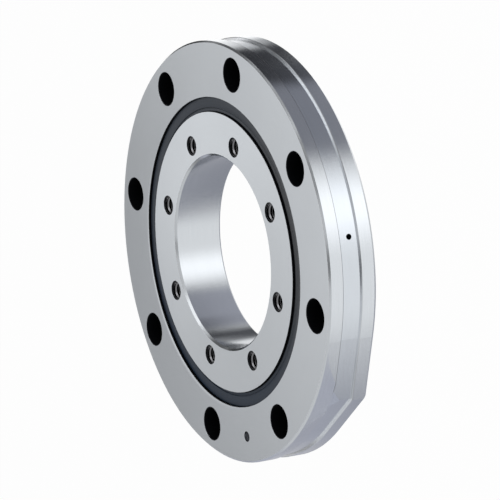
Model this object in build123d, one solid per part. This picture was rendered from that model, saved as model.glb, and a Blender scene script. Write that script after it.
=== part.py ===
from build123d import *
import os
from math import cos, floor, hypot, pi, radians, sin, sqrt, tan

# A crossed roller bearing with thick, bolted rings, lying flat on its back face.
# The origin is the centre of the bore at mid width, +Z points out of the counterbored front face,
# and +X points at one of the outer ring's holes. Sizes are in millimetres and angles in degrees.

# Rings
bore_diameter = 55.0
bore_to_pitch_circle = 15.0
pitch_circle_to_rim = 17.5
ring_width = 15.0
bore_chamfer = 0.6
rim_front_chamfer = 0.5
rim_back_chamfer = 1.0

# Rollers and raceways; the rollers are a little shorter than wide, so their ends clear the raceway
roller_diameter = 6.0
roller_end_play = 0.2
roller_chamfer = 0.3
raceway_clearance = 0.02
raceway_relief_radius = 0.4
ring_lip_gap = 0.6

# Resin spacers between the rollers
spacer_web = 1.2
spacer_clearance = 0.1
spacer_rim_clearance = 0.2
spacer_thickness = 3.8

# Seals and the pockets that hold them
seal_thickness = 1.7
seal_recess = 0.8
outer_shelf_width = 1.3
inner_shelf_width = 2.2
seal_lip_clearance = 0.05
seal_underside_clearance = 0.3
seal_lip_width = 0.8
seal_groove_width = 0.35
seal_groove_depth = 0.3
seal_edge_chamfer = 0.2
pocket_edge_chamfer = 0.1

# Counterbored holes in the outer ring
outer_hole_count = 8
outer_hole_inset = 7.5
outer_hole_diameter = 5.5
counterbore_diameter = 9.5
counterbore_depth = 5.4
outer_hole_chamfer = 0.2

# Tapped holes in the inner ring, at the outer diameter of their thread
inner_hole_count = 8
inner_hole_inset = 5.0
inner_hole_phase = -5.78
thread_diameter = 5.0
thread_mouth_chamfer = 0.35

# Groove around the rim, with the oil hole in its floor
groove_front_z = 3.25
groove_back_z = -2.6
groove_depth = 0.65
groove_edge_chamfer = 0.15
oil_hole_diameter = 1.6

# Corner lug on the rim, between two flats that run into the round; a cone takes its front corner off
lug_half_angle = 17.4
lug_cone_angle = 20.0

# Plug that closes the roller-loading hole, and the pin that holds it; the ring covers it under each shelf
plug_shelf_cover = 0.5
plug_fit_clearance = 0.01
pin_diameter = 3.0
pin_recess = 1.3
pin_floor_thickness = 1.8
pin_chamfer = 0.3

# Places that follow from the sizes
half_width = ring_width / 2
bore_radius = bore_diameter / 2
pitch_radius = bore_radius + bore_to_pitch_circle
rim_radius = pitch_radius + pitch_circle_to_rim
roller_length = roller_diameter - roller_end_play
wall_distance = roller_diameter / 2 + raceway_clearance
raceway_reach = wall_distance * sqrt(2)
outer_lip_radius = pitch_radius + ring_lip_gap / 2
inner_lip_radius = pitch_radius - ring_lip_gap / 2
outer_pocket_radius = outer_lip_radius + outer_shelf_width
inner_pocket_radius = inner_lip_radius - inner_shelf_width
seal_top_z = half_width - seal_recess
shelf_z = seal_top_z - seal_thickness
outer_hole_circle_radius = rim_radius - outer_hole_inset
inner_hole_circle_radius = bore_radius + inner_hole_inset
outer_hole_pitch = 360 / outer_hole_count
oil_hole_angle = outer_hole_pitch / 2
lug_angle = -outer_hole_pitch / 2
plug_angle = -1.5 * outer_hole_pitch
plug_diameter = 2 * (shelf_z - plug_shelf_cover)
pin_length = ring_width - pin_recess - pin_floor_thickness

# As many rollers as fit around the pitch circle, an even number so that they alternate
roller_spacing = roller_diameter + spacer_web + 2 * spacer_clearance
roller_count = 2 * floor(pi * pitch_radius / roller_spacing)
roller_pitch = 360 / roller_count


def cell(inner, outer, low, high):
    """Rectangle of a ring's half section, from one radius to another and between two heights."""
    return Pos((inner + outer) / 2, (low + high) / 2) * Rectangle(outer - inner, high - low)


def corner_cut(radius, height, size):
    """Square on its tip that takes a chamfer of this size off a corner of a half section."""
    side = size * sqrt(2)
    return Pos(radius, height) * Rot(0, 0, 45) * Rectangle(side, side)


def turned(section):
    """Solid turned about the bearing's axis from a half section."""
    return revolve(Plane.XZ * section, Axis.Z, 360)


def on_circle(radius, angle, height=0.0):
    """Point at a radius and an angle about the bearing's axis."""
    return Vector(radius * cos(radians(angle)), radius * sin(radians(angle)), height)


def raceway_section():
    """Square channel on its tip, shared by both rings, with a round relief in each root."""
    side = 2 * wall_distance
    channel = Pos(pitch_radius, 0) * Rot(0, 0, 45) * Rectangle(side, side)
    for root_radius in (pitch_radius - raceway_reach, pitch_radius + raceway_reach):
        channel += Pos(root_radius, 0) * Circle(raceway_relief_radius)
    return channel


def rim_outline(inset):
    """Outline of the rim seen along the axis: a circle with one corner between two tangent flats."""
    radius = rim_radius - inset
    first = on_circle(radius, lug_angle + lug_half_angle)
    opposite = on_circle(radius, lug_angle + 180)
    last = on_circle(radius, lug_angle - lug_half_angle)
    corner = on_circle(radius / cos(radians(lug_half_angle)), lug_angle)
    edges = [
        ThreePointArc(first, opposite, last),
        Line(last, corner),
        Line(corner, first),
    ]
    return make_face(edges)


def groove_back_edges(disc):
    """Edges where the back wall of the rim's groove meets the rim."""
    middle_radius = rim_radius - groove_depth / 2
    low = groove_back_z - groove_edge_chamfer
    high = groove_back_z + groove_edge_chamfer
    level = disc.edges().filter_by_position(Axis.Z, low, high)
    return level.filter_by(lambda edge: min(hypot(end.X, end.Y) for end in edge.vertices()) > middle_radius)


def rim_blank():
    """Disc with the rim's outline, its chamfers and its groove."""
    outline = Pos(0, 0, -half_width) * rim_outline(0)
    disc = extrude(outline, ring_width)
    back_edges = disc.edges().group_by(Axis.Z)[0]
    disc = chamfer(back_edges, rim_back_chamfer)
    reach = rim_radius / cos(radians(lug_half_angle)) - rim_radius + 1
    cone_drop = reach / tan(radians(lug_cone_angle))
    front_cut = Polygon(
        (rim_radius - rim_front_chamfer, half_width),
        (rim_radius + reach, half_width),
        (rim_radius + reach, half_width - rim_front_chamfer - cone_drop),
        (rim_radius, half_width - rim_front_chamfer),
        align=None,
    )
    disc -= turned(front_cut)
    groove_width = groove_front_z - groove_back_z
    around = Circle(rim_radius + reach) - rim_outline(groove_depth)
    disc -= extrude(Pos(0, 0, groove_back_z) * around, groove_width)
    return chamfer(groove_back_edges(disc), groove_edge_chamfer)


def outer_ring_core():
    """Space inside the outer ring: its bore, the two seal pockets and half of the raceway."""
    section = cell(0, outer_lip_radius, -half_width, half_width)
    section += cell(0, outer_pocket_radius, shelf_z, half_width)
    section += cell(0, outer_pocket_radius, -half_width, -shelf_z)
    section += raceway_section()
    for height in (-half_width, half_width):
        section += corner_cut(outer_pocket_radius, height, pocket_edge_chamfer)
    return turned(section)


def counterbored_hole(angle):
    """Through hole with its counterbore in the front face."""
    neck_radius = outer_hole_diameter / 2
    head_radius = counterbore_diameter / 2
    section = cell(0, neck_radius, -half_width, half_width)
    section += cell(0, head_radius, half_width - counterbore_depth, half_width)
    section += corner_cut(head_radius, half_width, outer_hole_chamfer)
    section += corner_cut(neck_radius, -half_width, outer_hole_chamfer)
    section &= cell(0, counterbore_diameter, -ring_width, ring_width)
    return Pos(on_circle(outer_hole_circle_radius, angle)) * turned(section)


def tapped_hole(angle):
    """Through hole at the thread's outer diameter, countersunk at both faces."""
    hole_radius = thread_diameter / 2
    section = cell(0, hole_radius, -half_width, half_width)
    for height in (-half_width, half_width):
        section += corner_cut(hole_radius, height, thread_mouth_chamfer)
    return Pos(on_circle(inner_hole_circle_radius, angle)) * turned(section)


def radial_cylinder(angle, diameter, start, stop):
    """Cylinder that points straight out from the axis, at mid width."""
    outward = on_circle(1, angle)
    middle = on_circle((start + stop) / 2, angle)
    return Plane(origin=middle, z_dir=outward) * Cylinder(diameter / 2, stop - start)


def upright_cylinder(diameter, low, high):
    """Cylinder along the plug pin's axis, between two heights."""
    middle = on_circle(outer_hole_circle_radius, plug_angle, (low + high) / 2)
    return Pos(middle) * Cylinder(diameter / 2, high - low)


def build_outer_ring(blank):
    """Outer ring, with its bolt holes, oil hole, loading hole and pin hole."""
    ring = blank
    for index in range(outer_hole_count):
        ring -= counterbored_hole(index * outer_hole_pitch)
    ring -= radial_cylinder(oil_hole_angle, oil_hole_diameter, pitch_radius, rim_radius)
    loading_hole = plug_diameter + 2 * plug_fit_clearance
    ring -= radial_cylinder(plug_angle, loading_hole, pitch_radius, rim_radius + 1)
    pin_floor = -half_width + pin_floor_thickness
    ring -= upright_cylinder(pin_diameter, pin_floor, half_width)
    return ring


def build_loading_plug(blank):
    """Plug that closes the loading hole: a round slice of the ring, drilled across for its pin."""
    plug = blank & radial_cylinder(plug_angle, plug_diameter, pitch_radius, rim_radius + 1)
    plug -= upright_cylinder(pin_diameter, -half_width, half_width)
    return plug


def build_plug_pin():
    """Straight pin that locks the plug, its front end sunk below the face."""
    low = -half_width + pin_floor_thickness
    pin = upright_cylinder(pin_diameter - 2 * plug_fit_clearance, low, low + pin_length)
    return chamfer(pin.edges().filter_by(GeomType.CIRCLE), pin_chamfer)


def build_inner_ring():
    """Inner ring, with its half of the raceway, its seal pockets and its tapped holes."""
    section = cell(bore_radius, inner_lip_radius, -half_width, half_width)
    section -= cell(inner_pocket_radius, pitch_radius, shelf_z, half_width)
    section -= cell(inner_pocket_radius, pitch_radius, -half_width, -shelf_z)
    section -= raceway_section()
    for height in (-half_width, half_width):
        section -= corner_cut(bore_radius, height, bore_chamfer)
        section -= corner_cut(inner_pocket_radius, height, pocket_edge_chamfer)
    ring = turned(section)
    for index in range(inner_hole_count):
        ring -= tapped_hole(inner_hole_phase + index * 360 / inner_hole_count)
    return ring


def build_front_seal():
    """Rubber ring on the outer ring's shelf, with a lip that runs close around the inner ring."""
    lip_radius = inner_pocket_radius + seal_lip_clearance
    underside = shelf_z + seal_underside_clearance
    section = cell(lip_radius, outer_pocket_radius, shelf_z, seal_top_z)
    section -= cell(lip_radius, outer_lip_radius, shelf_z, underside)
    groove_start = lip_radius + seal_lip_width
    groove_floor = seal_top_z - seal_groove_depth
    section -= cell(groove_start, groove_start + seal_groove_width, groove_floor, seal_top_z)
    section -= corner_cut(lip_radius, seal_top_z, seal_edge_chamfer)
    section -= corner_cut(outer_pocket_radius, seal_top_z, seal_edge_chamfer)
    return turned(section)


def build_roller(index):
    """Cylindrical roller, leaning in or out by turns so that each is crossed to its neighbours."""
    angle = index * roller_pitch
    lean = 1 if index % 2 == 0 else -1
    along = on_circle(1, angle) + Vector(0, 0, lean)
    roller = Cylinder(roller_diameter / 2, roller_length)
    roller = chamfer(roller.edges().filter_by(GeomType.CIRCLE), roller_chamfer)
    return Plane(origin=on_circle(pitch_radius, angle), z_dir=along) * roller


def roller_pocket(index):
    """Space that a roller takes out of the spacers beside it."""
    angle = index * roller_pitch
    lean = 1 if index % 2 == 0 else -1
    along = on_circle(1, angle) + Vector(0, 0, lean)
    radius = roller_diameter / 2 + spacer_clearance
    return Plane(origin=on_circle(pitch_radius, angle), z_dir=along) * Cylinder(radius, 2 * roller_length)


def build_spacer(index):
    """Resin disc between two rollers, hollowed on each side to hold the roller there."""
    middle_angle = (index + 0.5) * roller_pitch
    disc_radius = wall_distance - spacer_rim_clearance
    tangent = on_circle(1, middle_angle + 90)
    seat = Plane(origin=on_circle(pitch_radius, middle_angle), z_dir=tangent)
    spacer = seat * Cylinder(disc_radius, spacer_thickness)
    spacer -= roller_pocket(index)
    spacer -= roller_pocket(index + 1)
    return spacer


def save(shape, node):
    """Write one node's solids to its own file."""
    export_step(shape, "parts/" + node + ".step")


def main():
    os.makedirs("parts", exist_ok=True)
    blank = rim_blank() - outer_ring_core()
    front_seal = build_front_seal()
    save(build_outer_ring(blank), "outer_ring")
    save(build_loading_plug(blank), "loading_plug")
    save(build_plug_pin(), "plug_pin")
    save(build_inner_ring(), "inner_ring")
    save(front_seal, "front_seal")
    save(mirror(front_seal, Plane.XY), "back_seal")
    for index in range(roller_count):
        save(build_roller(index), f"roller_{index + 1:02d}")
    spacers = [build_spacer(index).solid() for index in range(roller_count)]
    save(Compound(spacers), "roller_spacers")


main()
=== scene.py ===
import logging
import math
from abc import ABC, abstractmethod
from collections.abc import Callable
from dataclasses import dataclass
from enum import Enum

import bmesh
import bpy
from mathutils import Matrix, Vector


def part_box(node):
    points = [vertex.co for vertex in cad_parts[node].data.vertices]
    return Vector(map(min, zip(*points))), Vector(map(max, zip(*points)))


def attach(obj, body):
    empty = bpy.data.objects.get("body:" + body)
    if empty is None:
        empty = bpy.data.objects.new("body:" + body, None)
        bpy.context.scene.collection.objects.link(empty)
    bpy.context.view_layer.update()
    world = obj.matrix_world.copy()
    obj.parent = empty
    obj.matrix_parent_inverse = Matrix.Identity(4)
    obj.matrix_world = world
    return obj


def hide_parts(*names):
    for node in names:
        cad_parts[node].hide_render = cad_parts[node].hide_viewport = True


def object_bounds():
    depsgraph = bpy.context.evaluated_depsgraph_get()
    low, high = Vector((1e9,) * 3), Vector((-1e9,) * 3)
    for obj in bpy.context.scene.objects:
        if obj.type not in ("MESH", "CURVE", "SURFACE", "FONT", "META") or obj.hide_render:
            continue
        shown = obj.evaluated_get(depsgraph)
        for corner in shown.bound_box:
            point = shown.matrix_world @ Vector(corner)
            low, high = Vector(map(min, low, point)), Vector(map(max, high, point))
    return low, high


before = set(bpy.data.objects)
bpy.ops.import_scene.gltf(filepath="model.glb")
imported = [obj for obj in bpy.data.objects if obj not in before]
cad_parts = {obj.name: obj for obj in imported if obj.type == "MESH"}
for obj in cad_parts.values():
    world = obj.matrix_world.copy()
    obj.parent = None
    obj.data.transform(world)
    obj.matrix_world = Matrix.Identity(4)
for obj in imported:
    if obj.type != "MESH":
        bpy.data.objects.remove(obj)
cad_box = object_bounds()

log = logging.getLogger("bearing")

MM = 0.001
NOISE_MEAN = 0.5
WHITE = (1.0, 1.0, 1.0, 1.0)
METAL = {"Metallic": 1.0}

Socket = bpy.types.NodeSocket
Tint = Socket | tuple[float, ...]
Colour = tuple[float, float, float]
Range = tuple[float, float]
Corner = tuple[float, float]


class Side(Enum):
    """The two faces of the bearing, by the direction that each looks along the axis."""

    FRONT = 1
    BACK = -1


class Value:
    """A socket that carries a number, and whose operators add Math nodes."""

    def __init__(self, shop: "NodeShop", socket: Socket) -> None:
        """Keep the socket and the shop that makes its nodes."""
        self.shop = shop
        self.socket = socket

    def __add__(self, other: "Term") -> "Value":
        """Sum."""
        return self.shop.maths("ADD", self, other)

    def __sub__(self, other: "Term") -> "Value":
        """Difference."""
        return self.shop.maths("SUBTRACT", self, other)

    def __mul__(self, other: "Term") -> "Value":
        """Product."""
        return self.shop.maths("MULTIPLY", self, other)

    def __truediv__(self, other: "Term") -> "Value":
        """Quotient."""
        return self.shop.maths("DIVIDE", self, other)

    def __pow__(self, other: "Term") -> "Value":
        """Power."""
        return self.shop.maths("POWER", self, other)

    def __radd__(self, other: float) -> "Value":
        """Sum with a number on the left."""
        return self.shop.maths("ADD", other, self)

    def __rsub__(self, other: float) -> "Value":
        """Difference with a number on the left."""
        return self.shop.maths("SUBTRACT", other, self)

    def __rmul__(self, other: float) -> "Value":
        """Product with a number on the left."""
        return self.shop.maths("MULTIPLY", other, self)

    def __rtruediv__(self, other: float) -> "Value":
        """Quotient with a number on the left."""
        return self.shop.maths("DIVIDE", other, self)

    def magnitude(self) -> "Value":
        """Absolute value."""
        return self.shop.maths("ABSOLUTE", self)

    def sine(self) -> "Value":
        """Sine of an angle in radians."""
        return self.shop.maths("SINE", self)

    def cosine(self) -> "Value":
        """Cosine of an angle in radians."""
        return self.shop.maths("COSINE", self)

    def highest(self, other: "Term") -> "Value":
        """Larger of two values."""
        return self.shop.maths("MAXIMUM", self, other)

    def wrapped(self, low: float, high: float) -> "Value":
        """Value brought into a range that repeats."""
        return self.shop.maths("WRAP", self, high, low)

    def centred(self) -> "Value":
        """Noise of 0 to 1, moved so that its mean is nought."""
        return self - NOISE_MEAN

    def rising(self, start: float, end: float) -> "Value":
        """Smooth step between two values.

        Args:
            start: where the step is 0.
            end: where it is 1, which may be below the start.

        Returns:
            The step, from 0 to 1.
        """
        first, last = (0.0, 1.0) if start < end else (1.0, 0.0)
        settings = {"interpolation_type": "SMOOTHSTEP", "clamp": True}
        values = {"Value": self, "From Min": min(start, end), "From Max": max(start, end),
                  "To Min": first, "To Max": last}
        return self.shop.result("ShaderNodeMapRange", settings, values, "Result")

    def beyond(self, limit: float, soft: Range) -> "Value":
        """One past a limit, with a smooth rise between two distances from it."""
        return self.rising(limit + soft[0], limit + soft[1])

    def until(self, limit: float, soft: Range) -> "Value":
        """One up to a limit, with a smooth fall between two distances from it."""
        return self.rising(limit + soft[1], limit + soft[0])


Term = Value | float


def distance(along: Value, across: Value) -> Value:
    """Length of a line from its two parts at right angles."""
    return (along * along + across * across) ** 0.5


class NodeShop:
    """Makes the nodes of one material or world."""

    def __init__(self, tree: bpy.types.NodeTree) -> None:
        """Start on an empty tree."""
        self.tree = tree
        tree.nodes.clear()

    def add(self, kind: str, settings: dict[str, object] | None = None,
            values: dict[str | int, object] | None = None) -> bpy.types.Node:
        """Add a node.

        Args:
            kind: the node's type.
            settings: properties of the node, which are set first.
            values: numbers, colours, vectors or links of its sockets, by name or place.

        Returns:
            The new node.
        """
        node = self.tree.nodes.new(kind)
        for name, setting in (settings or {}).items():
            setattr(node, name, setting)
        for name, value in (values or {}).items():
            if isinstance(value, Value):
                self.tree.links.new(value.socket, node.inputs[name])
            elif isinstance(value, Socket):
                self.tree.links.new(value, node.inputs[name])
            else:
                node.inputs[name].default_value = value
        return node

    def result(self, kind: str, settings: dict[str, object], values: dict[str | int, object],
               output: str | int = 0) -> Value:
        """Add a node and return one of its outputs as a value."""
        return Value(self, self.add(kind, settings, values).outputs[output])

    def maths(self, operation: str, *terms: Term) -> Value:
        """Add a Math node for an operation on up to three terms."""
        return self.result("ShaderNodeMath", {"operation": operation}, dict(enumerate(terms)))

    def noise(self, vector: Socket, scale: float, detail: float = 2.0,
              roughness: float = 0.5) -> Value:
        """Add a noise texture of about 0 to 1 with its mean at one half."""
        values = {"Vector": vector, "Scale": scale, "Detail": detail, "Roughness": roughness}
        return self.result("ShaderNodeTexNoise", {"noise_dimensions": "3D"}, values, "Fac")

    def combined(self, x: Term, y: Term, z: Term) -> Socket:
        """Add a vector made of three values."""
        return self.add("ShaderNodeCombineXYZ", {}, {0: x, 1: y, 2: z}).outputs[0]

    def scaled(self, vector: Tint, share: Term) -> Socket:
        """Multiply a vector or a colour by a number."""
        values = {0: vector, "Scale": share}
        return self.add("ShaderNodeVectorMath", {"operation": "SCALE"}, values).outputs[0]

    def multiplied(self, first: Tint, second: Tint) -> Socket:
        """Multiply two colours, channel by channel."""
        values = {0: first, 1: second}
        return self.add("ShaderNodeVectorMath", {"operation": "MULTIPLY"}, values).outputs[0]

    def mix_colours(self, factor: Term, first: Tint, second: Tint) -> Socket:
        """Add a Mix node that goes from the first colour to the second."""
        values = {0: factor, 6: first, 7: second}
        return self.add("ShaderNodeMix", {"data_type": "RGBA"}, values).outputs[2]

    def mix_shaders(self, factor: Term | Socket, first: Socket, second: Socket) -> Socket:
        """Add a Mix Shader node that goes from the first shader to the second."""
        return self.add("ShaderNodeMixShader", {}, {0: factor, 1: first, 2: second}).outputs[0]

    def bump(self, height: Value, strength: float, depth: float) -> Socket:
        """Add a Bump node whose depth is in millimetres."""
        values = {"Strength": strength, "Distance": depth * MM, "Height": height}
        return self.add("ShaderNodeBump", {}, values).outputs[0]

    def principled(self, colour: Tint, roughness: Term, others: dict[str, object]) -> Socket:
        """Add a Principled shader with a colour, a roughness and other inputs by name."""
        values = {"Base Color": colour, "Roughness": roughness, **others}
        return self.add("ShaderNodeBsdfPrincipled", {}, values).outputs[0]

    def glow(self, colour: tuple[float, ...], level: float) -> Socket:
        """Add an Emission shader."""
        return self.add("ShaderNodeEmission", {}, {"Color": colour, "Strength": level}).outputs[0]

    def clear(self) -> Socket:
        """Add a shader that lets light through."""
        return self.add("ShaderNodeBsdfTransparent").outputs[0]

    def seen_directly(self) -> Value:
        """One for rays of the camera and for what metal and glass show, else nought.

        Returns:
            The share, which is 1 or 0.
        """
        path = self.add("ShaderNodeLightPath")
        rays = ("Is Camera Ray", "Is Glossy Ray", "Is Transmission Ray")
        camera, glossy, through = (Value(self, path.outputs[name]) for name in rays)
        return camera.highest(glossy).highest(through)


def material_from(name: str, surface: Callable[[NodeShop], Socket]) -> bpy.types.Material:
    """Make a material with its node tree.

    Args:
        name: the material's name.
        surface: what makes the surface shader in the material's shop.

    Returns:
        The new material.
    """
    material = bpy.data.materials.new(name)
    material.use_nodes = True
    shop = NodeShop(material.node_tree)
    shop.add("ShaderNodeOutputMaterial", {}, {"Surface": surface(shop)})
    return material


@dataclass(frozen=True)
class Place:
    """Where a shaded point is on the bearing, in millimetres and radians."""

    point: Socket
    x: Value
    y: Value
    z: Value
    radius: Value
    angle: Value
    upright: Value

    @classmethod
    def of(cls, shop: NodeShop) -> "Place":
        """Read the point from the object's own coordinates.

        Args:
            shop: what makes the nodes.

        Returns:
            The point's place, with the share of its normal that is along the axis.
        """
        coordinates = shop.add("ShaderNodeTexCoord")
        point = shop.scaled(coordinates.outputs["Object"], 1 / MM)
        parts = shop.add("ShaderNodeSeparateXYZ", {}, {0: point})
        x, y, z = (Value(shop, parts.outputs[i]) for i in range(3))
        normal = shop.add("ShaderNodeSeparateXYZ", {}, {0: coordinates.outputs["Normal"]})
        angle = shop.maths("ARCTAN2", y, x)
        upright = Value(shop, normal.outputs[2]).magnitude()
        return cls(point, x, y, z, distance(x, y), angle, upright)

    def towards(self, angle_deg: float) -> Value:
        """From -1 to 1 across the bearing, highest in the direction of an angle."""
        return (self.angle - math.radians(angle_deg)).cosine()

    def from_axis(self, angle_deg: float) -> tuple[Value, Value]:
        """Distances along and across a line that leaves the bearing's axis at an angle."""
        c, s = math.cos(math.radians(angle_deg)), math.sin(math.radians(angle_deg))
        return self.x * c + self.y * s, self.y * c - self.x * s

    def from_hole(self, circle_radius: float, count: int, phase_deg: float) -> Value:
        """Distance from the nearest hole of a hole circle.

        Args:
            circle_radius: the radius that the holes lie on.
            count: how many holes there are.
            phase_deg: the angle of one of them.

        Returns:
            The distance from that hole's centre line.
        """
        half = math.pi / count
        turned = (self.angle - math.radians(phase_deg)).wrapped(-half, half)
        along = self.radius * turned.cosine() - circle_radius
        return distance(along, self.radius * turned.sine())


@dataclass(frozen=True)
class Finish(ABC):
    """A finish, which makes its own material."""

    name: str

    @abstractmethod
    def shader(self, shop: NodeShop, place: Place) -> Socket:
        """Make the surface shader.

        Args:
            shop: what makes the nodes.
            place: where the shaded point is.

        Returns:
            The shader's output.
        """

    def paint(self, *pieces: bpy.types.Object) -> None:
        """Put this finish alone on one or more pieces, which share its material.

        Args:
            pieces: what to paint.
        """
        material = material_from(self.name, lambda shop: self.shader(shop, Place.of(shop)))
        for piece in pieces:
            piece.data.materials.clear()
            piece.data.materials.append(material)


@dataclass(frozen=True)
class RingSteel(Finish):
    """Hardened steel that is ground bright on its working faces and left dark in its holes, with
    painted shade there.

    The lines of the turned and ground surfaces run round the axis. Lengths are in millimetres.
    A soft edge is two distances past a limit, and a range is where a step starts and ends.
    """

    tone: Colour = (0.497, 0.52, 0.545)
    wall_share: float = 1.0
    # Colour of the dark skin, near black as painted shade
    scale_and_shade_tone: Colour = (0.010, 0.011, 0.013)
    half_width: float = 7.5

    # What counts as flat, and where tones change at an edge
    flat_range: Range = (0.8, 0.95)
    mouth_soft: Range = (0.01, 0.04)
    face_soft: Range = (-0.04, -0.01)

    # How rough each surface is, and what lines and grain add
    face_roughness: float = 0.36
    wall_roughness: float = 0.17
    scale_roughness: float = 0.6
    line_roughness: float = 0.08
    grain_roughness: float = 0.06

    # Lines that run round, grain, and clouds of tone
    line_pitch: float = 0.11
    line_length: float = 9.0
    line_depth: float = 0.02
    radius_share: float = 0.93
    height_share: float = 1.07
    grain_size: float = 0.16
    cloud_scale: float = 0.06
    mean_shade: float = 0.97
    wall_streaks: float = 0.16
    face_streak_loss: float = 0.1
    grain_contrast: float = 0.05
    cloud_contrast: float = 0.06

    # Relief, and painted light that makes one side of the face brighter
    bump_strength: float = 0.12
    face_line_loss: float = 0.6
    grain_height: float = 0.5
    dish: float = 0.0
    painted_light_side: float = 130.0
    painted_light_share: float = 0.0

    @abstractmethod
    def dark(self, place: Place) -> Value:
        """Where the dark skin of the heat treatment is left, deepened to near black as painted
        shade.

        Args:
            place: where the shaded point is.

        Returns:
            The share of the dark skin and its painted shade, from 0 to 1.
        """

    def turned(self, place: Place) -> Term:
        """Where a flat surface is turned smooth, not ground."""
        return 0.0

    def tint(self, shop: NodeShop, place: Place, ground: Socket) -> Socket:
        """Change the ground steel's colour in places, for its finish and for painted light and
        shade.
        """
        return ground

    def relief(self, place: Place) -> Value:
        """Height of the face's slight dish, in the depth of a grinding line."""
        return place.radius * self.dish

    def lines(self, shop: NodeShop, place: Place) -> Value:
        """Make the fine lines of the wheel and the tool, which run round the axis.

        Args:
            shop: what makes the nodes.
            place: where the shaded point is.

        Returns:
            The lines as noise, from 0 to 1.
        """
        track = place.radius * self.radius_share + place.z * self.height_share
        across = shop.combined(place.x / self.line_length, place.y / self.line_length,
                               track / self.line_pitch)
        return shop.noise(across, 1.0, detail=3.0, roughness=0.6)

    def shader(self, shop: NodeShop, place: Place) -> Socket:
        """Mix the ground and the dark finish in one metal shader.

        Args:
            shop: what makes the nodes.
            place: where the shaded point is.

        Returns:
            The shader's output.
        """
        dark = self.dark(place)
        flat = place.upright.rising(*self.flat_range) * (1 - self.turned(place))
        lines = self.lines(shop, place)
        grain = shop.noise(place.point, 1 / self.grain_size, roughness=0.55)
        cloud = shop.noise(place.point, self.cloud_scale, detail=3.0)

        streaks = lines.centred() * (self.wall_streaks - flat * self.face_streak_loss)
        mottle = (self.mean_shade + streaks + grain.centred() * self.grain_contrast
                  + cloud.centred() * self.cloud_contrast)
        # Painted light: one side of the face lighter
        side = place.towards(self.painted_light_side) * self.painted_light_share
        shade = (self.wall_share + flat * (1 - self.wall_share + side)) * mottle
        bright = self.tint(shop, place, shop.scaled(self.tone, shade))
        # Dark skin in holes and pockets, deepened by painted shade
        colour = shop.mix_colours(dark, bright, (*self.scale_and_shade_tone, 1.0))

        polish = self.wall_roughness + flat * (self.face_roughness - self.wall_roughness)
        ground = (polish + lines.centred() * self.line_roughness
                  + grain.centred() * self.grain_roughness)
        roughness = ground + dark * (self.scale_roughness - ground)
        height = (lines * (1 - flat * self.face_line_loss) + grain * self.grain_height
                  + self.relief(place))
        normal = shop.bump(height, self.bump_strength, self.line_depth)
        return shop.principled(colour, roughness, METAL | {"Normal": normal})


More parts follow.
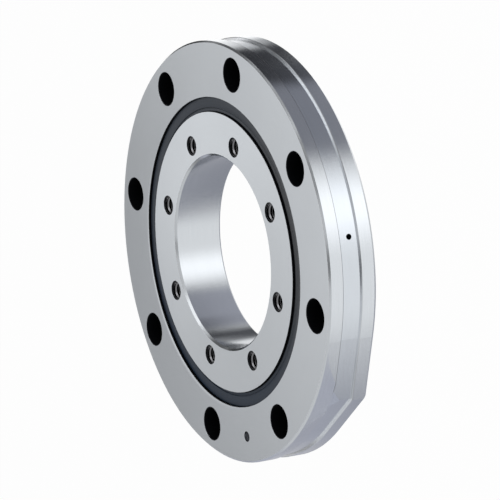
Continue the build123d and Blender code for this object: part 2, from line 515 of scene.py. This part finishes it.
@dataclass(frozen=True)
class OuterRingSteel(RingSteel):
    """Ring steel with the outer ring's holes and pockets dark with painted shade, and its rim
    groove smooth.

    Angles are in degrees, but edge_start_soft and back_edge_range are in radians.
    """

    # Counterbored holes
    hole_circle: float = 52.5
    hole_count: int = 8
    head_radius: float = 4.75
    head_edge: float = 0.2

    # Seal pocket, and how the face falls off to it
    pocket_radius: float = 44.1
    pocket_soft: Range = (0.02, 0.08)
    pocket_mouth_soft: Range = (-0.06, -0.02)
    fall_width: float = 1.0
    fall_side: float = 236.0
    fall_power: float = 3.0
    fall: float = 90.0

    # Oil hole, and how far out it is dark
    oil_angle: float = 22.5
    oil_radius: float = 0.8
    oil_range: Range = (40.0, 41.0)

    # Rim groove, its floor, and its walls with a painted highlight
    rim_radius: float = 60.0
    rim_soft: Range = (-0.1, -0.05)
    groove_front: float = 3.25
    groove_back: float = -2.6
    groove_depth: float = 0.65
    groove_soft: float = 0.05
    groove_tone: Colour = (0.975, 0.985, 1.0)
    groove_wall_painted_highlight: Colour = (0.94, 0.95, 0.97)
    wall_range: Range = (0.75, 0.9)
    wall_soft: Range = (-1.2, -1.0)

    # Painted shade along the front edge of the groove
    edge_front_soft: Range = (0.08, 0.14)
    edge_back_soft: Range = (-0.04, 0.0)
    edge_start: float = -20.0
    edge_start_soft: Range = (-0.02, 0.02)
    edge_painted_shade: float = 0.75

    # Painted shade on the back edge of the groove beside the lug
    lug_corner: float = -24.0
    lug_blend: float = 2.0
    back_edge_soft: Range = (0.2, 0.3)
    back_edge_range: Range = (-0.05, -0.25)
    back_edge_painted_shade: float = 0.25

    def dark(self, place: Place) -> Value:
        """Screw holes, seal pockets and oil hole with painted shade, and a line of painted shade
        at the front edge of the rim groove.

        Args:
            place: where the shaded point is.

        Returns:
            The share of the dark skin, from 0 to 1.
        """
        below_face = place.z.until(self.half_width, self.face_soft)
        hole = place.from_hole(self.hole_circle, self.hole_count, 0.0)
        # Dark skin in screw holes, pockets and oil hole, deepened by painted shade
        screws = hole.until(self.head_radius + self.head_edge, self.mouth_soft) * below_face
        pocket = (place.radius.until(self.pocket_radius, self.pocket_soft)
                  * place.z.magnitude().until(self.half_width, self.pocket_mouth_soft))
        along, across = place.from_axis(self.oil_angle)
        oil_hole = (distance(across, place.z).until(self.oil_radius, self.mouth_soft)
                    * along.rising(*self.oil_range))
        # A thin line of painted shade at the groove's front edge
        edge = (place.z.until(self.groove_front, self.edge_front_soft)
                * place.z.beyond(self.groove_front, self.edge_back_soft)
                * place.radius.beyond(self.rim_radius, self.rim_soft)
                * place.angle.beyond(math.radians(self.edge_start), self.edge_start_soft))
        return screws.highest(pocket).highest(oil_hole).highest(edge * self.edge_painted_shade)

    def beside_groove(self, place: Place) -> Value:
        """One from the floor of the rim groove outwards."""
        return place.radius.beyond(self.rim_radius - self.groove_depth, self.rim_soft)

    def turned(self, place: Place) -> Term:
        """The two walls of the rim groove."""
        between = place.z.magnitude().until(self.half_width, self.wall_soft)
        return place.upright.rising(*self.wall_range) * between * self.beside_groove(place)

    def relief(self, place: Place) -> Value:
        """Let the face fall off a little at the seal pocket, most on one side.

        Args:
            place: where the shaded point is.

        Returns:
            The height, in the depth of a grinding line.
        """
        near = (self.pocket_radius + self.fall_width - place.radius).highest(0.0)
        side = place.towards(self.fall_side).highest(0.0) ** self.fall_power
        return near * near * side * -self.fall

    def tint(self, shop: NodeShop, place: Place, ground: Socket) -> Socket:
        """Tone the rim: groove floor a little bluer, groove walls brighter as a painted
        highlight, painted shade on one edge.

        Args:
            shop: what makes the nodes.
            place: where the shaded point is.
            ground: the ground steel's colour.

        Returns:
            The colour with the three differences.
        """
        beside = self.beside_groove(place)
        corner = math.radians(self.lug_corner)
        back_edge = ((place.z - self.groove_back).magnitude().until(0.0, self.back_edge_soft)
                     * place.angle.rising(corner, corner + math.radians(self.lug_blend))
                     * place.angle.rising(*self.back_edge_range) * beside)
        # Painted shade that dims the groove's back edge beside the lug
        land = shop.scaled(ground, 1 - back_edge * self.back_edge_painted_shade)
        floor = (place.z.rising(self.groove_back, self.groove_back + self.groove_soft)
                 * place.z.rising(self.groove_front, self.groove_front - self.groove_soft)
                 * beside)
        rim = shop.mix_colours(floor, land, shop.multiplied(land, self.groove_tone))
        # Groove walls lightened as a painted highlight
        return shop.mix_colours(self.turned(place), rim, (*self.groove_wall_painted_highlight, 1.0))


@dataclass(frozen=True)
class InnerRingSteel(RingSteel):
    """Ring steel with the inner ring's tapped holes and pockets dark with painted shade, its face
    dished, and one side of its face painted lighter.
    """

    tone: Colour = (0.615, 0.643, 0.672)
    wall_share: float = 0.78
    dish: float = 10.0
    painted_light_share: float = 0.135

    hole_circle: float = 32.5
    hole_count: int = 8
    hole_phase: float = -5.78
    hole_radius: float = 2.5
    mouth: float = 0.35
    pocket_radius: float = 40.0
    pocket_edge: float = 0.1
    pocket_soft: Range = (-0.02, 0.02)

    def dark(self, place: Place) -> Value:
        """Tapped holes and the pocket walls that face the seals, their dark skin deepened by
        painted shade.

        Args:
            place: where the shaded point is.

        Returns:
            The share of the dark skin and its painted shade, from 0 to 1.
        """
        below_face = place.z.magnitude().until(self.half_width, self.face_soft)
        hole = place.from_hole(self.hole_circle, self.hole_count, self.hole_phase)
        # Tapped holes and pocket walls: dark skin deepened by painted shade
        holes = hole.until(self.hole_radius + self.mouth, self.mouth_soft)
        pocket = place.radius.beyond(self.pocket_radius - self.pocket_edge, self.pocket_soft)
        return holes.highest(pocket) * below_face


@dataclass(frozen=True)
class ThreadSteel(Finish):
    """Cut thread flanks, a little torn along the cut, dark with painted shade that deepens
    towards the middle of the hole.
    """

    tone: Colour = (0.2, 0.2, 0.21)
    middle_painted_level: float = 0.2
    mouth_range: Range = (4.0, 7.0)
    tear_stretch: float = 6.0
    tear_scale: float = 3.0
    tear_contrast: float = 0.3
    mean_shade: float = 0.9
    roughness: float = 0.25
    tear_roughness: float = 0.15

    def shader(self, shop: NodeShop, place: Place) -> Socket:
        """Make the metal shader of the flanks, with painted shade that darkens them towards the
        middle of the hole.

        Args:
            shop: what makes the nodes.
            place: where the shaded point is.

        Returns:
            The shader's output.
        """
        point = shop.combined(place.x, place.y, place.z * self.tear_stretch)
        tear = shop.noise(point, self.tear_scale).centred()
        # Painted shade: darkest in the middle of the hole
        near_mouth = place.z.magnitude().rising(*self.mouth_range)
        painted_hole_shade = self.middle_painted_level + near_mouth * (1 - self.middle_painted_level)
        shade = painted_hole_shade * (self.mean_shade + tear * self.tear_contrast)
        roughness = self.roughness + tear * self.tear_roughness
        return shop.principled(shop.scaled(self.tone, shade), roughness, METAL)


@dataclass(frozen=True)
class SealRubber(Finish):
    """Moulded nitrile rubber, dark blue grey, with the fine rings of its turned mould.

    It is painted paler on two sides, most on one, as a painted sheen.
    """

    tone: Colour = (0.006, 0.014, 0.028)
    # Painted sheen: a paler tone on two sides of the seal
    painted_sheen_tone: Colour = (0.066, 0.068, 0.071)
    painted_sheen_side: float = 30.0
    painted_sheen_share: float = 0.85
    painted_sheen_power: float = 2.0
    far_sheen_side: float = 150.0
    far_sheen_share: float = 0.3

    ring_length: float = 30.0
    rings_per_mm: float = 5.0
    ring_contrast: float = 0.5
    dust_scale: float = 2.5
    dust_contrast: float = 0.25
    mean_shade: float = 0.95

    roughness: float = 0.42
    dust_roughness: float = 0.2
    sheen: float = 0.24
    bump_strength: float = 0.2
    ring_depth: float = 0.02
    dust_height: float = 0.3

    def shader(self, shop: NodeShop, place: Place) -> Socket:
        """Make the rubber shader.

        Args:
            shop: what makes the nodes.
            place: where the shaded point is.

        Returns:
            The shader's output.
        """
        across = shop.combined(place.x / self.ring_length, place.y / self.ring_length,
                               place.radius * self.rings_per_mm)
        rings = shop.noise(across, 1.0)
        dust = shop.noise(place.point, self.dust_scale, detail=4.0, roughness=0.6)
        # Painted sheen, strongest on one side
        near = place.towards(self.painted_sheen_side).highest(0.0) ** self.painted_sheen_power
        painted_sheen = (near * self.painted_sheen_share
                + place.towards(self.far_sheen_side).highest(0.0) * self.far_sheen_share)
        sheen_colour = shop.mix_colours(painted_sheen, (*self.tone, 1.0), (*self.painted_sheen_tone, 1.0))
        shade = (self.mean_shade + rings.centred() * self.ring_contrast
                 + dust.centred() * self.dust_contrast)
        roughness = self.roughness + dust.centred() * self.dust_roughness
        normal = shop.bump(rings + dust * self.dust_height, self.bump_strength, self.ring_depth)
        return shop.principled(shop.scaled(sheen_colour, shade), roughness,
                               {"Normal": normal, "Specular IOR Level": self.sheen})


@dataclass(frozen=True)
class CloudedFinish(Finish):
    """A plain finish whose tone and roughness drift a little, with grease, wear or flow."""

    tone: Colour
    cloud_scale: float
    darkest: float
    contrast: float
    roughness: float
    cloud_roughness: float

    def others(self, shop: NodeShop, cloud: Value) -> dict[str, object]:
        """Further inputs of the shader, which make it metal here."""
        return METAL

    def shader(self, shop: NodeShop, place: Place) -> Socket:
        """Make the shader.

        Args:
            shop: what makes the nodes.
            place: where the shaded point is.

        Returns:
            The shader's output.
        """
        cloud = shop.noise(place.point, self.cloud_scale, detail=3.0)
        tone = shop.scaled(self.tone, self.darkest + cloud * self.contrast)
        roughness = self.roughness + cloud * self.cloud_roughness
        return shop.principled(tone, roughness, self.others(shop, cloud))


@dataclass(frozen=True)
class SpacerResin(CloudedFinish):
    """Cream moulded resin of the roller spacers, which lets a little light in."""

    tone: Colour = (0.72, 0.66, 0.5)
    cloud_scale: float = 0.8
    darkest: float = 0.9
    contrast: float = 0.2
    roughness: float = 0.35
    cloud_roughness: float = 0.2
    bump_strength: float = 0.2
    flow_depth: float = 0.01
    glow_share: float = 0.1
    glow_reach: Colour = (1.0, 0.8, 0.5)

    def others(self, shop: NodeShop, cloud: Value) -> dict[str, object]:
        """Flow marks, and light that goes in a little way."""
        return {"Normal": shop.bump(cloud, self.bump_strength, self.flow_depth),
                "Subsurface Weight": self.glow_share,
                "Subsurface Radius": tuple(reach * MM for reach in self.glow_reach)}


def into_scene(name: str, data: bpy.types.ID) -> bpy.types.Object:
    """Put new data into the scene.

    Args:
        name: the new object's name.
        data: its mesh, light or camera.

    Returns:
        The object, at the origin.
    """
    item = bpy.data.objects.new(name, data)
    bpy.context.scene.collection.objects.link(item)
    return item


def piece_from(name: str, shape: bmesh.types.BMesh, sharp_deg: float = 35.0) -> bpy.types.Object:
    """Make a mesh object of a bmesh.

    Args:
        name: the new piece's name.
        shape: its faces, which are freed.
        sharp_deg: the bend from which an edge stays sharp.

    Returns:
        The piece, smooth except at its sharp edges.
    """
    mesh = bpy.data.meshes.new(name)
    shape.to_mesh(mesh)
    shape.free()
    mesh.shade_smooth()
    mesh.set_sharp_from_angle(angle=math.radians(sharp_deg))
    return into_scene(name, mesh)


def lathe(name: str, profile: list[Corner], steps: int) -> bpy.types.Object:
    """Turn a closed profile about the bearing's axis.

    Args:
        name: the new piece's name.
        profile: radius and height of each corner, in millimetres, in order.
        steps: how many slices go round.

    Returns:
        A smooth piece with its sharp corners kept.
    """
    shape = bmesh.new()
    rings = []
    for step in range(steps):
        turn = 2 * math.pi * step / steps
        rings.append([shape.verts.new((r * math.cos(turn) * MM, r * math.sin(turn) * MM, z * MM))
                      for r, z in profile])
    count = len(profile)
    for step in range(steps):
        this, following = rings[step], rings[(step + 1) % steps]
        for i in range(count):
            j = (i + 1) % count
            shape.faces.new((this[i], following[i], following[j], this[j]))
    bmesh.ops.recalc_face_normals(shape, faces=shape.faces)
    return piece_from(name, shape)


@dataclass
class OuterRing:
    """The counterbored outer ring with its loading plug and the plug's pin."""

    steel: OuterRingSteel = OuterRingSteel("ground_outer_ring_steel")
    pin: Finish = CloudedFinish("pin_steel", (0.15, 0.15, 0.16), cloud_scale=2.0, darkest=0.8,
                                contrast=0.4, roughness=0.3, cloud_roughness=0.15)

    def dress(self) -> list[str]:
        """Put the finishes on the three nodes.

        Returns:
            Their names.
        """
        steel_nodes = ["outer_ring", "loading_plug"]
        for node in steel_nodes:
            self.steel.paint(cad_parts[node])
        self.pin.paint(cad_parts["plug_pin"])
        return [*steel_nodes, "plug_pin"]


@dataclass
class InnerRing:
    """The inner ring and the threads that are cut in its holes.

    Lengths are in millimetres. The crest's two shares say where it starts and ends in a pitch.
    """

    steel: InnerRingSteel = InnerRingSteel("ground_inner_ring_steel")
    flank: Finish = ThreadSteel("cut_thread_steel")
    pitch: float = 0.8
    root_radius: float = 2.455
    crest_radius: float = 2.067
    root_share: float = 0.125
    crest_shares: Range = (0.45, 0.675)
    sleeve_radius: float = 2.53
    spare_turns: int = 3
    steps: int = 48
    sharp_deg: float = 25.0
    same_point: float = 1e-5
    cut_tolerance: float = 1e-6

    def dress(self) -> list[str]:
        """Put the finish on the ring and return its name."""
        self.steel.paint(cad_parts["inner_ring"])
        return ["inner_ring"]

    def flanks(self, half_length: float) -> bmesh.types.BMesh:
        """Make the helical sheet of one thread about the Z axis, longer than it will be.

        Args:
            half_length: half of the threaded length.

        Returns:
            The sheet, open at both ends.
        """
        shape = bmesh.new()
        crest_start, crest_end = self.crest_shares
        corners = ((0.0, self.root_radius), (self.root_share, self.root_radius),
                   (crest_start, self.crest_radius), (crest_end, self.crest_radius))
        turns = math.ceil(2 * half_length / self.pitch) + self.spare_turns
        start = -turns * self.pitch / 2
        columns = []
        for step in range(self.steps + 1):
            angle = 2 * math.pi * step / self.steps
            column = []
            for turn in range(turns):
                for share, radius in corners:
                    height = start + (turn + share + step / self.steps) * self.pitch
                    column.append(shape.verts.new(
                        (radius * math.cos(angle), radius * math.sin(angle), height)))
            columns.append(column)
        for left, right in zip(columns, columns[1:]):
            for low in range(len(left) - 1):
                shape.faces.new((left[low], left[low + 1], right[low + 1], right[low]))
        bmesh.ops.remove_doubles(shape, verts=shape.verts, dist=self.same_point)
        return shape

    def close(self, shape: bmesh.types.BMesh, half_length: float) -> None:
        """Cut a sheet to length and close it with a round outer wall, just inside the steel.

        Args:
            shape: the helical sheet.
            half_length: half of the threaded length.
        """
        for sign in (1, -1):
            cut = bmesh.ops.bisect_plane(
                shape, geom=shape.verts[:] + shape.edges[:] + shape.faces[:],
                dist=self.cut_tolerance, plane_co=(0, 0, sign * half_length),
                plane_no=(0, 0, sign), clear_outer=True)
            rim = [edge for edge in cut["geom_cut"] if isinstance(edge, bmesh.types.BMEdge)]
            skirt = bmesh.ops.extrude_edge_only(shape, edges=rim)["geom"]
            for vertex in (v for v in skirt if isinstance(v, bmesh.types.BMVert)):
                out = Vector((vertex.co.x, vertex.co.y)).normalized() * self.sleeve_radius
                vertex.co.x, vertex.co.y = out
        open_edges = [edge for edge in shape.edges if edge.is_boundary]
        bmesh.ops.bridge_loops(shape, edges=open_edges)

    def countersink(self, shape: bmesh.types.BMesh, half_length: float) -> None:
        """Widen both ends of a thread to the cone of the hole's mouth.

        Args:
            shape: the closed thread.
            half_length: half of the threaded length.
        """
        mouth = self.steel.mouth
        for vertex in shape.verts:
            depth = half_length + mouth - abs(vertex.co.z)
            cone = self.root_radius + 2 * mouth - depth
            radius = Vector((vertex.co.x, vertex.co.y)).length
            least = min(cone, self.root_radius)
            if radius < least:
                vertex.co.x *= least / radius
                vertex.co.y *= least / radius

    def thread(self, name: str, half_length: float) -> bpy.types.Object:
        """Cut one thread.

        Args:
            name: the new piece's name.
            half_length: half of the threaded length.

        Returns:
            A closed sleeve about the Z axis.
        """
        shape = self.flanks(half_length)
        self.close(shape, half_length)
        self.countersink(shape, half_length)
        bmesh.ops.recalc_face_normals(shape, faces=shape.faces)
        bmesh.ops.scale(shape, vec=(MM, MM, MM), verts=shape.verts)
        return piece_from(name, shape, self.sharp_deg)

    def build_threads(self) -> list[str]:
        """Cut a thread in each hole.

        Returns:
            The names of the pieces.
        """
        steel = self.steel
        low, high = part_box("inner_ring")
        half_length = (high.z - low.z) / 2 / MM - steel.mouth
        names = []
        for index in range(steel.hole_count):
            piece = self.thread(f"thread_{index + 1}", half_length)
            turn = math.radians(steel.hole_phase + index * 360 / steel.hole_count)
            piece.location = (steel.hole_circle * math.cos(turn) * MM,
                              steel.hole_circle * math.sin(turn) * MM, 0)
            self.flank.paint(piece)
            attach(piece, "inner_ring_body")
            names.append(piece.name)
        return names


@dataclass
class Seals:
    """The two rubber seals, each a moulded ring with a rounded shoulder and a thin lip.

    Sizes are in millimetres. The land is the flat top between the shoulder and the groove, and
    the lip runs on the inner ring.
    """

    rubber: Finish = SealRubber("seal_rubber")
    lip_radius: float = 40.05
    lip_width: float = 0.8
    lip_fall: float = 0.18
    lip_edge: float = 0.1
    lip_edge_fall: float = 0.04
    lip_tip_fall: float = 0.14
    groove_width: float = 0.25
    groove_depth: float = 0.3
    groove_slope: float = 0.05
    land_fall: float = 0.02
    land_round: float = 0.12
    land_bulge: float = 0.3
    shoulder: float = 0.2
    shoulder_steps: int = 6
    step_radius: float = 42.8
    underside: float = 0.3
    steps: int = 360

    def profile(self, outer: float, base: float, top: float) -> list[Corner]:
        """Half section of the front seal.

        Args:
            outer: radius of the seal's outer wall.
            base: height of the shelf that it sits on.
            top: height of its highest point.

        Returns:
            The corners in order, with the shoulder and the land as short arcs.
        """
        groove = self.lip_radius + self.lip_width
        land, land_top = groove + self.groove_width, top - self.land_fall
        floor = top - self.groove_depth
        bulge = self.land_bulge * self.land_round
        arc = []
        for step in range(1, self.shoulder_steps):
            turn = math.radians(90 * step / self.shoulder_steps)
            arc.append((outer - self.shoulder * (1 - math.cos(turn)),
                        top - self.shoulder * (1 - math.sin(turn))))
        return [
            (self.step_radius, base),
            (outer, base),
            (outer, top - self.shoulder),
            *arc,
            (outer - self.shoulder, top),
            (land + self.land_round, land_top),
            (land + bulge, land_top - bulge),
            (land, land_top - self.land_round),
            (land - self.groove_slope, floor),
            (groove + self.groove_slope, floor),
            (groove - self.groove_slope, top - self.lip_fall),
            (self.lip_radius + self.lip_edge, top - self.lip_edge_fall),
            (self.lip_radius, top - self.lip_tip_fall),
            (self.lip_radius, base + self.underside),
            (self.step_radius, base + self.underside),
        ]

    def build(self) -> list[str]:
        """Mould both seals.

        Returns:
            Their names.
        """
        low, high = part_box("front_seal")
        outline = self.profile((high.x - low.x) / 2 / MM, low.z / MM, high.z / MM)
        names = []
        for side in Side:
            node = side.name.lower() + "_seal"
            section = [(radius, height * side.value) for radius, height in outline]
            piece = lathe("moulded_" + node, section, self.steps)
            self.rubber.paint(piece)
            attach(piece, "outer_ring_body")
            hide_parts(node)
            names.append(piece.name)
        return names


@dataclass
class RollerTrain:
    """The crossed rollers and the resin spacers between them."""

    steel: Finish = CloudedFinish("lapped_roller_steel", (0.66, 0.67, 0.68), cloud_scale=0.5,
                                  darkest=0.875, contrast=0.15, roughness=0.09,
                                  cloud_roughness=0.1)
    resin: Finish = SpacerResin("spacer_resin")
    spacers: str = "roller_spacers"

    def dress(self) -> list[str]:
        """Put the finishes on every roller and on the spacers.

        Returns:
            The names of the nodes.
        """
        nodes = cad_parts
        rollers = sorted(n for n in nodes if n.startswith("roller_") and n != self.spacers)
        self.steel.paint(*(nodes[node] for node in rollers))
        self.resin.paint(nodes[self.spacers])
        return [*rollers, self.spacers]


class Paper(Enum):
    """Colours of the cards' paper."""

    WHITE = (1.0, 1.0, 1.0, 1.0)
    COOL = (0.985, 1.0, 1.12, 1.0)


def toward(azimuth_deg: float, elevation_deg: float) -> Vector:
    """Unit vector from the bearing towards an azimuth and an elevation."""
    azimuth, elevation = math.radians(azimuth_deg), math.radians(elevation_deg)
    return Vector((math.cos(azimuth) * math.cos(elevation),
                   math.sin(azimuth) * math.cos(elevation), math.sin(elevation)))


@dataclass(frozen=True)
class Card:
    """A soft-edged sheet that hangs round the bearing, grey or lit, for the metal to mirror.

    Angles are in degrees and the distance in millimetres: the azimuth of the sheet's middle, its
    half width, how far its side edges fade, the elevations of its low and high ends, and how far
    those fade. A level of 1 is white, and a lower one is grey.
    """

    name: str
    azimuth: float
    half_width: float
    side_edge: float
    low: float
    high: float
    end_edge: float
    level: float
    distance: float
    paper: Paper = Paper.WHITE
    facets: int = 24
    steepest: float = 89.0

    def sheet(self, shop: NodeShop) -> Socket:
        """Make the sheet's shader, which fades out towards its four edges.

        Args:
            shop: what makes the nodes.

        Returns:
            The shader's output.
        """
        place = Place.of(shop)
        turned = (place.angle - math.radians(self.azimuth)).wrapped(-math.pi, math.pi).magnitude()
        tilt = shop.maths("ARCTAN2", place.z, place.radius)
        inside = turned.rising(math.radians(self.half_width + self.side_edge),
                               math.radians(self.half_width - self.side_edge))
        for height, sign in ((self.low, 1), (self.high, -1)):
            inside = inside * tilt.rising(math.radians(height - sign * self.end_edge),
                                          math.radians(height + sign * self.end_edge))
        return shop.mix_shaders(inside, shop.clear(), shop.glow(self.paper.value, self.level))

    def hang(self) -> None:
        """Hang the card as a part of a sphere round the bearing."""
        reach = self.half_width + self.side_edge
        low = max(self.low - self.end_edge, -self.steepest)
        high = min(self.high + self.end_edge, self.steepest)
        shape = bmesh.new()
        rows = []
        for i in range(self.facets + 1):
            tilt = low + (high - low) * i / self.facets
            turns = [self.azimuth - reach + 2 * reach * j / self.facets
                     for j in range(self.facets + 1)]
            rows.append([shape.verts.new(toward(turn, tilt) * self.distance * MM)
                         for turn in turns])
        for below, above in zip(rows, rows[1:]):
            for j in range(self.facets):
                shape.faces.new((below[j], below[j + 1], above[j + 1], above[j]))
        card = piece_from(self.name, shape)
        card.data.materials.append(material_from(self.name, self.sheet))
        card.visible_camera = card.visible_diffuse = card.visible_shadow = False


@dataclass
class Studio:
    """Pale floor and room, one softbox, cards for the metal to mirror, and the camera.

    Lengths are in millimetres, or in pixels where a name says so, and angles in degrees.
    """

    camera_azimuth: float = 23.147
    camera_elevation: float = 28.375
    camera_distance: float = 1008.229
    camera_aim: tuple[float, float, float] = (2.954, 0.785, 0.0)
    camera_roll: float = -98.127
    focal_pixels: float = 3568.03
    picture_pixels: float = 500.0
    sensor: float = 36.0
    nearest_seen: float = 10.0
    farthest_seen: float = 200000.0

    floor_drop: float = 800.0
    floor_radius: float = 60000.0
    floor_sides: int = 96
    floor_tone: float = 0.97
    shadow_share: float = 0.15
    room_level: float = 0.9

    softbox_azimuth: float = 120.0
    softbox_elevation: float = 55.0
    softbox_distance: float = 1400.0
    softbox_width: float = 700.0
    softbox_power: float = 3.0

    # Name, azimuth, half width, side edge, low, high, end edge, level, distance, paper
    cards: tuple[Card, ...] = (
        Card("grey_card_lug_side", -38, 11, 9, -27, -3, 3, 0.48, 145, Paper.COOL),
        Card("grey_card_lug", -66, 29, 4, -27, -3, 3, 0.6, 150, Paper.COOL),
        Card("grey_card_low_left", -112, 50, 14, -27, -3, 3, 0.54, 280, Paper.COOL),
        Card("grey_card_left", -98, 64, 12, -3, 12, 4, 0.72, 282, Paper.COOL),
        Card("grey_card_under_left", -102, 64, 26, -70, -27, 3, 0.46, 285, Paper.COOL),
        Card("black_card_low_right", 128, 20, 5, -28.5, -3, 1.5, 0.05, 286, Paper.COOL),
        Card("grey_card_low_right", 90, 28, 7, -28.5, -3, 1.5, 0.33, 290, Paper.COOL),
        Card("black_card_under_back", 150, 14, 7, -70, -27, 3, 0.1, 292, Paper.COOL),
        Card("grey_card_under_right", 98, 30, 7, -70, -22, 3, 0.63, 295, Paper.COOL),
        Card("black_card_right", 148, 21, 7, 8, 31, 4, 0.16, 300),
        Card("black_card_back", 178, 24, 8, -14, 13, 4, 0.06, 302),
        Card("grey_card_back", 220, 26, 8, -14, 14, 5, 0.3, 304),
        Card("grey_card_high_front", 66, 20, 6, 38, 52, 3, 0.4, 306),
        Card("grey_card_high_right", 98, 18, 5, 28, 42, 3, 0.55, 308),
        Card("black_card_high_right", 122, 9, 4, 26, 34, 3, 0.12, 310),
        Card("grey_card_high_back", 218, 34, 12, 10, 32, 6, 0.38, 314),
        Card("lit_card_back", 184, 30, 10, 34, 80, 6, 1.5, 460),
        Card("lit_card_low_front", 37, 14, 12, -60, -3, 5, 2.05, 830),
        Card("light_card_low_front", 12, 44, 20, -60, -3, 5, 1.35, 840),
        Card("lit_card_low_back", 177, 18, 5, -60, -14, 5, 1.36, 860),
        Card("lit_card_right", 101, 22, 10, 15, 56, 5, 1.75, 880),
        Card("mid_card_front", 45, 30, 8, 10, 58, 5, 0.85, 885),
        Card("grey_card_front", 6, 12, 5, 5, 62, 3, 0.28, 890),
    )

    def place_camera(self) -> None:
        """Put the camera where the photograph was taken, turned as it was held."""
        lens = bpy.data.cameras.new("photo_camera")
        lens.sensor_width = self.sensor
        lens.lens = self.focal_pixels / self.picture_pixels * self.sensor
        lens.clip_start, lens.clip_end = self.nearest_seen * MM, self.farthest_seen * MM
        camera = into_scene("photo_camera", lens)
        back = toward(self.camera_azimuth, self.camera_elevation)
        camera.location = (Vector(self.camera_aim) + back * self.camera_distance) * MM
        level = (-back).to_track_quat("-Z", "Y").to_matrix()
        roll = Matrix.Rotation(math.radians(self.camera_roll), 3, "Z")
        camera.rotation_euler = (level @ roll).to_euler()
        bpy.context.scene.camera = camera

    def floor_paper(self, shop: NodeShop) -> Socket:
        """Make white paper that keeps a light shadow and is see-through from below.

        Args:
            shop: what makes the nodes.

        Returns:
            The shader's output.
        """
        tone = (self.floor_tone, self.floor_tone, self.floor_tone, 1.0)
        paper = shop.add("ShaderNodeBsdfDiffuse", {}, {"Color": tone}).outputs[0]
        share = shop.seen_directly() * (1 - self.shadow_share)
        front = shop.mix_shaders(share, paper, shop.glow(WHITE, 1.0))
        below = shop.add("ShaderNodeNewGeometry").outputs["Backfacing"]
        return shop.mix_shaders(below, front, shop.clear())

    def lay_floor(self) -> None:
        """Lay a floor so far below the bearing that only its tone shows."""
        shape = bmesh.new()
        bmesh.ops.create_circle(shape, cap_ends=True, segments=self.floor_sides,
                                radius=self.floor_radius * MM)
        floor = piece_from("studio_floor", shape)
        floor.location.z = cad_box[0].z - self.floor_drop * MM
        floor.data.materials.append(material_from("studio_floor", self.floor_paper))

    def light_room(self) -> None:
        """Light the world evenly; it is white where it is seen directly or in metal."""
        world = bpy.data.worlds.new("studio")
        world.use_nodes = True
        bpy.context.scene.world = world
        shop = NodeShop(world.node_tree)
        level = self.room_level + shop.seen_directly() * (1 - self.room_level)
        light = shop.add("ShaderNodeBackground", {}, {"Color": WHITE, "Strength": level})
        shop.add("ShaderNodeOutputWorld", {}, {"Surface": light.outputs[0]})

    def hang_softbox(self) -> None:
        """Hang the softbox, turned to the bearing."""
        lamp = bpy.data.lights.new("softbox", "AREA")
        lamp.shape = "SQUARE"
        lamp.size = self.softbox_width * MM
        lamp.energy = self.softbox_power
        softbox = into_scene("softbox", lamp)
        direction = toward(self.softbox_azimuth, self.softbox_elevation)
        softbox.location = direction * self.softbox_distance * MM
        softbox.rotation_euler = (-direction).to_track_quat("-Z", "Y").to_euler()
        softbox.visible_camera = False

    def build(self) -> None:
        """Set up the floor, the lights, the cards and the camera, and show colours as written."""
        self.lay_floor()
        self.light_room()
        self.hang_softbox()
        for card in self.cards:
            card.hang()
        self.place_camera()
        bpy.context.scene.view_settings.view_transform = "Standard"


def main() -> None:
    """Dress the bearing, build its threads and moulded seals, and set the studio."""
    logging.basicConfig(level=logging.INFO, format="%(name)s: %(message)s")
    outer, inner, seals, train = OuterRing(), InnerRing(), Seals(), RollerTrain()
    for step in (outer.dress, inner.dress, inner.build_threads, seals.build, train.dress):
        for name in step():
            log.info("finished %s", name)
    studio = Studio()
    studio.build()
    log.info("finished studio with %d cards", len(studio.cards))


if __name__ == "__main__":
    main()
